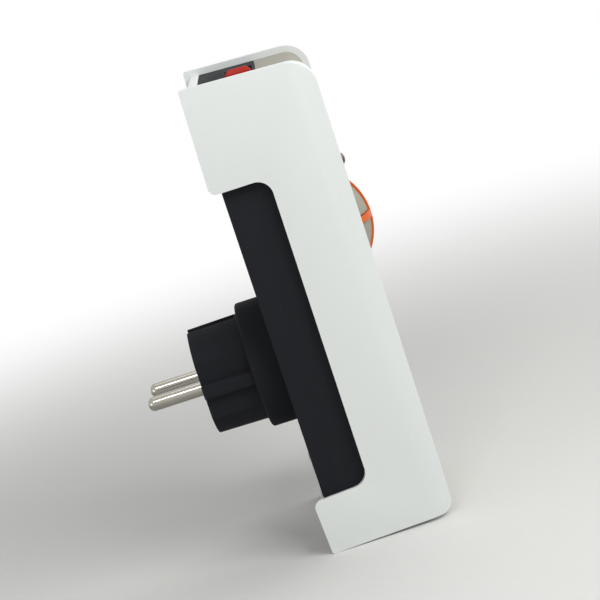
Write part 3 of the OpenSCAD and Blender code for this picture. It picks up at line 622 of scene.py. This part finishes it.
class METER_OT_display(bpy.types.Operator):
    """Build the display: window, printed mask, liquid crystal cell and digits"""
    bl_idname = "meter.display"
    bl_label = "Display"

    READING = "230.5"
    LIT = {"0": "abcdef", "2": "abdeg", "3": "abcdg", "5": "acdfg"}
    # Ends of each segment on a grid one figure wide and two halves tall
    ENDS = {"a": ((0, 2), (1, 2)), "b": ((1, 1), (1, 2)), "c": ((1, 0), (1, 1)), "d": ((0, 0), (1, 0)),
            "e": ((0, 0), (0, 1)), "f": ((0, 1), (0, 2)), "g": ((0, 1), (1, 1))}
    # Shares of a figure's height: half a bar's width, the figure's width, and the steps after a figure
    # and after a point
    HALF_BAR = 0.06
    WIDTH = 0.5
    PITCH = 0.76
    POINT_STEP = 0.22
    # Shares of half a bar: the point's width and its height above the foot, and the gap at a bar's ends
    POINT_WIDTH = 2.4
    POINT_HEIGHT = 1.4
    END_GAP = 0.3
    # Lift of the figures off the cell, their thickness, and the mask's thickness
    LIFT = 0.02 * MM
    BAR_T = 0.08 * MM
    MASK_T = 0.05 * MM

    def execute(self, context):
        paint("display_window", acrylic_window())
        paint("lcd_panel", display_glass())
        paint("backlight", case_plastic("polycarbonate_diffuser", "#F0F0EA"))
        self.mask()
        self.digits()
        return {"FINISHED"}

    def mask(self):
        """Printed border on the back of the window."""
        low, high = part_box("display_window")
        border = sizes().mask_w
        bm = bmesh.new()
        corners = [(low[0], low[2]), (high[0], low[2]), (high[0], high[2]), (low[0], high[2])]
        face = bm.faces.new([bm.verts.new((x, high[1] + self.MASK_T, z)) for x, z in corners])
        bm.normal_update()
        bmesh.ops.inset_region(bm, faces=[face], thickness=border, use_boundary=True,
                               use_even_offset=True)
        bmesh.ops.delete(bm, geom=[face], context="FACES")
        bmesh.ops.solidify(bm, geom=bm.faces[:], thickness=self.MASK_T)
        bmesh.ops.recalc_face_normals(bm, faces=bm.faces)
        new_piece("window_mask", bm, mask_ink())

    def digits(self):
        """Seven-segment figures on the front of the cell."""
        low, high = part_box("lcd_panel")
        tall = sizes().digit_h
        half = tall * self.HALF_BAR
        wide = tall * self.WIDTH
        pitch = tall * self.PITCH
        point = tall * self.POINT_STEP
        steps = [point if sign == "." else pitch for sign in self.READING]
        x = (low[0] + high[0] - sum(steps) + pitch - wide) / 2
        foot = (low[2] + high[2] - tall) / 2
        front = low[1] - self.LIFT
        bm = bmesh.new()
        for sign, step in zip(self.READING, steps):
            if sign == ".":
                left = x - (pitch - wide) / 2
                slab(bm, (left, front - self.BAR_T, foot - half),
                     (left + self.POINT_WIDTH * half, front, foot + self.POINT_HEIGHT * half))
            for name in self.LIT.get(sign, ""):
                ends = [Vector((x + u * wide, front, foot + v * tall / 2)) for u, v in self.ENDS[name]]
                self.segment(bm, *ends, half)
            x += step
        bmesh.ops.recalc_face_normals(bm, faces=bm.faces)
        new_piece("display_digits", bm, segment_ink(), sharp=20)

    def segment(self, bm, start, end, half):
        """One thin bar with pointed ends."""
        along = (end - start).normalized() * half
        aside = along.cross(Vector((0, 1, 0)))
        start = start + along * self.END_GAP
        end = end - along * self.END_GAP
        ring = (start, start + along + aside, end - along + aside,
                end, end - along - aside, start + along - aside)
        face = bm.faces.new([bm.verts.new(place) for place in ring])
        grown = bmesh.ops.extrude_face_region(bm, geom=[face], use_keep_orig=True)["geom"]
        bmesh.ops.translate(bm, verts=points(grown), vec=(0, -self.BAR_T, 0))


class METER_OT_switch(bpy.types.Operator):
    """Finish the rocker switch on the top end, with its on and off marks"""
    bl_idname = "meter.switch"
    bl_label = "Rocker Switch"

    # Depth of the frame's flange and length of the rocker's ends, whose edges are rounded
    FLANGE = 1.2 * MM
    END = 1.2 * MM
    # Half the on bar's width and length, and the off ring's inner and outer radius
    BAR = (0.4 * MM, 1.4 * MM)
    RING = (1.0 * MM, 1.5 * MM)
    # The marks' depth in the rocker's face, their height above it, and their distance from its middle
    SUNK = 0.3 * MM
    RAISED = 0.06 * MM
    REACH = 4.6 * MM

    def execute(self, context):
        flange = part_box("switch_frame")[1].z - self.FLANGE
        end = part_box("rocker")[1].x - self.END
        softened("switch_frame", black_nylon(), radius_mm=0.1, clamp=False,
                 keep=lambda edge: edge.is_convex and all(v.co.z > flange for v in edge.verts))
        softened("rocker", red_polycarbonate(), radius_mm=0.4, body="rocker_body",
                 degrees=60, clamp=False, sharp=25,
                 keep=lambda edge: edge.is_convex and all(abs(v.co.x) > end for v in edge.verts))
        joints = frame["record"]["behaviour"]["joints"]
        joint = next(item for item in joints if item["name"] == "rock_switch")
        axis = -Vector(joint["axis"]).normalized()
        for name, side, draw in (("on", 1, self.bar), ("off", -1, self.ring)):
            bm = bmesh.new()
            draw(bm)
            self.place(bm, Vector(joint["pos_m"]), axis, side)
            new_piece("rocker_mark_" + name, bm, red_polycarbonate(),
                      body="rocker_body", sharp=30)
        return {"FINISHED"}

    def bar(self, bm):
        """Flat bar of the on mark."""
        wide, long = self.BAR
        slab(bm, (-wide, -long, -self.SUNK), (wide, long, self.RAISED))

    def ring(self, bm):
        """Flat ring of the off mark."""
        inner, outer = self.RING
        profile = ((inner, -self.SUNK), (outer, -self.SUNK), (outer, self.RAISED), (inner, self.RAISED))
        verts = [bm.verts.new((radius, 0, z)) for radius, z in profile]
        edges = [bm.edges.new((verts[i - 1], verts[i])) for i in range(len(verts))]
        bmesh.ops.spin(bm, geom=verts + edges, cent=(0, 0, 0), axis=(0, 0, 1), angle=math.tau,
                       steps=32, use_merge=True)
        bmesh.ops.recalc_face_normals(bm, faces=bm.faces)

    def place(self, bm, pivot, axis, side):
        """Lay a mark on one half of the rocker."""
        s = sizes()
        lean = math.atan2(axis.z, axis.y)
        turn = Matrix.Rotation(lean, 4, "X") @ Matrix.Rotation(s.rocker_tilt, 4, "Y")
        rise = s.rocker_valley + self.REACH * math.tan(s.rocker_slope)
        slope = Matrix.Rotation(-side * s.rocker_slope, 4, "Y")
        seat = Matrix.Translation((side * self.REACH, 0, rise)) @ slope
        bmesh.ops.transform(bm, verts=bm.verts, matrix=Matrix.Translation(pivot) @ turn @ seat)


class METER_OT_fasteners(bpy.types.Operator):
    """Build the housing screws with cross recesses and finish the board screws"""
    bl_idname = "meter.fasteners"
    bl_label = "Screws"

    # Outline of the recess: four arms of length one, and half an arm's width
    ARM = 0.22
    CROSS = ((1, ARM), (ARM, ARM), (ARM, 1), (-ARM, 1), (-ARM, ARM), (-1, ARM),
             (-1, -ARM), (-ARM, -ARM), (-ARM, -1), (ARM, -1), (ARM, -ARM), (1, -ARM))
    # The recess's reach as a share of the head's radius, its depth as a share of the head's thickness,
    # and how far its floor narrows
    CROSS_REACH = 0.55
    CROSS_DEPTH = 0.55
    CROSS_TAPER = 0.6
    # The head's crown: shares of its radius, and how far each lies below the top
    CROWN = ((0.86, 0), (0.97, 0.18 * MM), (1.0, 0.5 * MM))

    def execute(self, context):
        low, high = (Vector(corner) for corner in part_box("housing_screws"))
        inset = sizes().screw_head_r
        bm = bmesh.new()
        self.screw(bm, high.y - low.y)
        seat = Matrix.Translation((low.x + inset, high.y, low.z + inset))
        bmesh.ops.transform(bm, matrix=seat @ Matrix.Rotation(-math.pi / 2, 4, "X"), verts=bm.verts)
        for step in ((high.x - low.x - 2 * inset, 0, 0), (0, 0, high.z - low.z - 2 * inset)):
            copy = bmesh.ops.duplicate(bm, geom=bm.verts[:] + bm.edges[:] + bm.faces[:])["geom"]
            bmesh.ops.translate(bm, verts=points(copy), vec=step)
        new_piece("housing_screw_set", bm, zinc_steel(), ("housing_screws",), sharp=40)
        paint("board_screws", zinc_steel())
        return {"FINISHED"}

    def screw(self, bm, long):
        """One pan head with a cross recess, and its shank."""
        s = sizes()
        reach = s.screw_head_r * self.CROSS_REACH
        cross = bm.faces.new([bm.verts.new((x * reach, y * reach, 0)) for x, y in self.CROSS])
        floor = points(bmesh.ops.extrude_face_region(bm, geom=[cross])["geom"])
        bmesh.ops.delete(bm, geom=[cross], context="FACES_ONLY")
        bmesh.ops.translate(bm, verts=floor, vec=(0, 0, -s.screw_head_t * self.CROSS_DEPTH))
        bmesh.ops.scale(bm, verts=floor, vec=(self.CROSS_TAPER, self.CROSS_TAPER, 1))
        levels = [(s.screw_head_r * share, -depth) for share, depth in self.CROWN]
        levels += [(s.screw_head_r, -s.screw_head_t), (s.screw_r, -s.screw_head_t), (s.screw_r, -long)]
        outline = [bm.verts.new((radius, 0, z)) for radius, z in levels]
        spine = [bm.edges.new(pair) for pair in zip(outline, outline[1:])]
        bmesh.ops.spin(bm, geom=outline + spine, cent=(0, 0, 0), axis=(0, 0, 1), angle=math.tau,
                       steps=24, use_merge=True)
        loose = [edge for edge in bm.edges if edge.is_boundary]
        tip = [edge for edge in loose if edge.verts[0].co.z < -s.screw_head_t]
        bmesh.ops.bridge_loops(bm, edges=[edge for edge in loose if edge not in tip])
        bmesh.ops.edgeloop_fill(bm, edges=tip)
        bmesh.ops.recalc_face_normals(bm, faces=bm.faces)


class METER_OT_electronics(bpy.types.Operator):
    """Finish the boards and components inside"""
    bl_idname = "meter.electronics"
    bl_label = "Electronics"

    def execute(self, context):
        for node in ("display_board", "power_board"):
            paint(node, solder_mask())
        for node in ("relay", "varistor"):
            paint(node, case_plastic("polyester_case_blue", "#2B4F8C"))
        for node in ("transformer", "film_capacitor"):
            paint(node, case_plastic("polyester_case_yellow", "#D8BA3C"))
        paint("controller_chip", case_plastic("epoxy_case_black", "#1D1E20"))
        paint("fuse", case_plastic("glass_tube_fuse", "#CFD4D6"))
        paint("shunt", plated("manganin_strip", "#B87348", roughness=0.35, stretch=(0.1, 1.0, 1.0)))
        for node in ("fuse_clips", "backup_cell"):
            paint(node, nickel_plate())
        return {"FINISHED"}


class METER_OT_stage(bpy.types.Operator):
    """Set up the floor, the lights and the camera"""
    bl_idname = "meter.stage"
    bl_label = "Stage"

    # Radius of the floor, and how far out it starts and ends its fade to white
    FLOOR_R = 4.0
    FADE = (0.18, 0.6)
    # Each soft panel's place and width in metres, and its power in watts
    PANELS = {
        "key": ((-0.42, -0.4, 0.5), 0.4, 3.3),
        "strip": ((-0.4, 0.04, 0.4), 0.12, 0.45),
        "fill": ((-0.6, 0.8, 0.1), 0.6, 1.8),
        "overhead": ((0.35, -0.2, 0.9), 0.6, 2.0),
        "front": ((0.3, -0.9, 0.4), 0.6, 2.2),
    }
    AIM = Vector((0, -0.02, 0.02))
    # Strength of the white surround as light on the object
    AMBIENT = 0.16

    def execute(self, context):
        self.floor()
        self.lights()
        self.world(context.scene)
        self.camera(context.scene)
        context.scene.view_settings.view_transform = "Standard"
        return {"FINISHED"}

    def seen(self, tree):
        """One for rays that reach the eye: direct, in a reflection or through the window."""
        ray = add(tree, "ShaderNodeLightPath")
        both = add(tree, "ShaderNodeMath", {0: ray.outputs["Is Camera Ray"],
                                            1: ray.outputs["Is Glossy Ray"]}, operation="MAXIMUM")
        all_three = add(tree, "ShaderNodeMath", {0: both.outputs["Value"],
                                                 1: ray.outputs["Is Transmission Ray"]},
                        operation="MAXIMUM")
        return all_three.outputs["Value"]

    def floor(self):
        """Round pale paper floor under the housing, which fades to white away from the object. Its
        fibres are drawn coarser than real ones so that they show."""
        bm = bmesh.new()
        bmesh.ops.create_circle(bm, cap_ends=True, segments=96, radius=self.FLOOR_R,
                                matrix=Matrix.Translation((0, 0, CAD_BOX[0][2])))
        mesh = bpy.data.meshes.new("floor")
        bm.to_mesh(mesh)
        bm.free()
        mat, tree = new_material("studio_paper_pale")
        place = add(tree, "ShaderNodeTexCoord").outputs["Object"]
        far = add(tree, "ShaderNodeVectorMath", {0: place}, operation="LENGTH")
        start, end = self.FADE
        fade = add(tree, "ShaderNodeMapRange", {"Value": far.outputs["Value"], "From Min": start,
                                                "From Max": end}, interpolation_type="SMOOTHSTEP")
        share = add(tree, "ShaderNodeMath", {0: self.seen(tree), 1: fade.outputs["Result"]},
                    operation="MULTIPLY")
        fibre = add(tree, "ShaderNodeTexNoise", {"Vector": place, "Scale": per_mm(3), "Detail": 4.0})
        tone = add(tree, "ShaderNodeMix", {MIX_SHARE: fibre.outputs["Fac"],
                                           MIX_LOW: shaded(colours().floor, 0.98),
                                           MIX_HIGH: shaded(colours().floor, 1.02)}, data_type="RGBA")
        paper = add(tree, "ShaderNodeBsdfPrincipled", {"Base Color": tone.outputs[MIX_OUT],
                                                       "Roughness": 0.9})
        glow = add(tree, "ShaderNodeEmission", {"Color": WHITE, "Strength": 1.0})
        mixed = add(tree, "ShaderNodeMixShader", {0: share.outputs["Value"], 1: paper.outputs["BSDF"],
                                                  2: glow.outputs["Emission"]})
        add(tree, "ShaderNodeOutputMaterial", {"Surface": mixed.outputs["Shader"]})
        mesh.materials.append(mat)
        plane = bpy.data.objects.new("floor", mesh)
        bpy.context.scene.collection.objects.link(plane)

    def lights(self):
        """A key, a strip for the pins' shine, fills from the rear and the front, and one overhead."""
        for name, (place, width, power) in self.PANELS.items():
            lamp = bpy.data.lights.new(name, "AREA")
            lamp.energy = power
            lamp.size = width
            item = bpy.data.objects.new(name, lamp)
            item.location = place
            item.rotation_euler = (item.location - self.AIM).to_track_quat("Z", "Y").to_euler()
            bpy.context.scene.collection.objects.link(item)

    def world(self, scene):
        """White to the eye and in reflections, a soft ambient for the rest."""
        scene.world = bpy.data.worlds.new("studio")
        scene.world.use_nodes = True
        tree = scene.world.node_tree
        tree.nodes.clear()
        strength = add(tree, "ShaderNodeMapRange", {"Value": self.seen(tree), "To Min": self.AMBIENT,
                                                    "To Max": 1.0})
        sky = add(tree, "ShaderNodeBackground", {"Color": WHITE,
                                                 "Strength": strength.outputs["Result"]})
        add(tree, "ShaderNodeOutputWorld", {"Surface": sky.outputs["Background"]})

    def camera(self, scene):
        """Camera at the photograph's angle, with the plug's face on its pixel."""
        v = scene.meter_view
        turn, rise, lean = v.azimuth, v.elevation, -v.roll
        flat = math.cos(rise)
        back = Vector((-flat * math.cos(turn), -flat * math.sin(turn), math.sin(rise)))
        level = Vector((0, 0, 1)).cross(back).normalized()
        upright = back.cross(level)
        right = math.cos(lean) * level + math.sin(lean) * upright
        up = math.cos(lean) * upright - math.sin(lean) * level
        cam = bpy.data.cameras.new("camera")
        cam.lens = v.lens
        focal_px = v.lens / cam.sensor_width * v.frame_px
        across = (v.plug_px_x - v.frame_px / 2) / focal_px
        down = (v.plug_px_y - v.frame_px / 2) / focal_px
        face = Vector((0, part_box("plug_body")[1][1], 0))
        place = face - v.distance * (right * across - up * down - back)
        item = bpy.data.objects.new("camera", cam)
        turned = Matrix((right, up, back)).transposed().to_4x4()
        item.matrix_world = Matrix.Translation(place) @ turned
        scene.collection.objects.link(item)
        scene.camera = item


class METER_PT_sidebar(bpy.types.Panel):
    """Sidebar panel that lists the meter's operators and values"""
    bl_label = "Power Meter"
    bl_idname = "METER_PT_sidebar"
    bl_space_type = "VIEW_3D"
    bl_region_type = "UI"
    bl_category = "Meter"

    def draw(self, context):
        for operator in OPERATORS:
            self.layout.operator(operator.bl_idname)
        for group in (context.scene.meter_sizes, context.scene.meter_colours, context.scene.meter_view):
            for name in group.bl_rna.properties.keys():
                if name not in ("rna_type", "name"):
                    self.layout.prop(group, name)


OPERATORS = (
    METER_OT_stage,
    METER_OT_cheeks,
    METER_OT_mouldings,
    METER_OT_plug,
    METER_OT_keypad,
    METER_OT_display,
    METER_OT_switch,
    METER_OT_fasteners,
    METER_OT_electronics,
)
CLASSES = (MeterSizes, MeterColours, MeterView) + OPERATORS + (METER_PT_sidebar,)


def register():
    """Register the classes and hang the values on the scene."""
    for item in CLASSES:
        bpy.utils.register_class(item)
    bpy.types.Scene.meter_sizes = PointerProperty(type=MeterSizes)
    bpy.types.Scene.meter_colours = PointerProperty(type=MeterColours)
    bpy.types.Scene.meter_view = PointerProperty(type=MeterView)


def unregister():
    """Undo what register did, in reverse."""
    del bpy.types.Scene.meter_view
    del bpy.types.Scene.meter_colours
    del bpy.types.Scene.meter_sizes
    for item in reversed(CLASSES):
        bpy.utils.unregister_class(item)


def main():
    """Build the stage and every piece."""
    register()
    for operator in OPERATORS:
        group, name = operator.bl_idname.split(".")
        getattr(getattr(bpy.ops, group), name)()


if __name__ == "__main__":
    main()
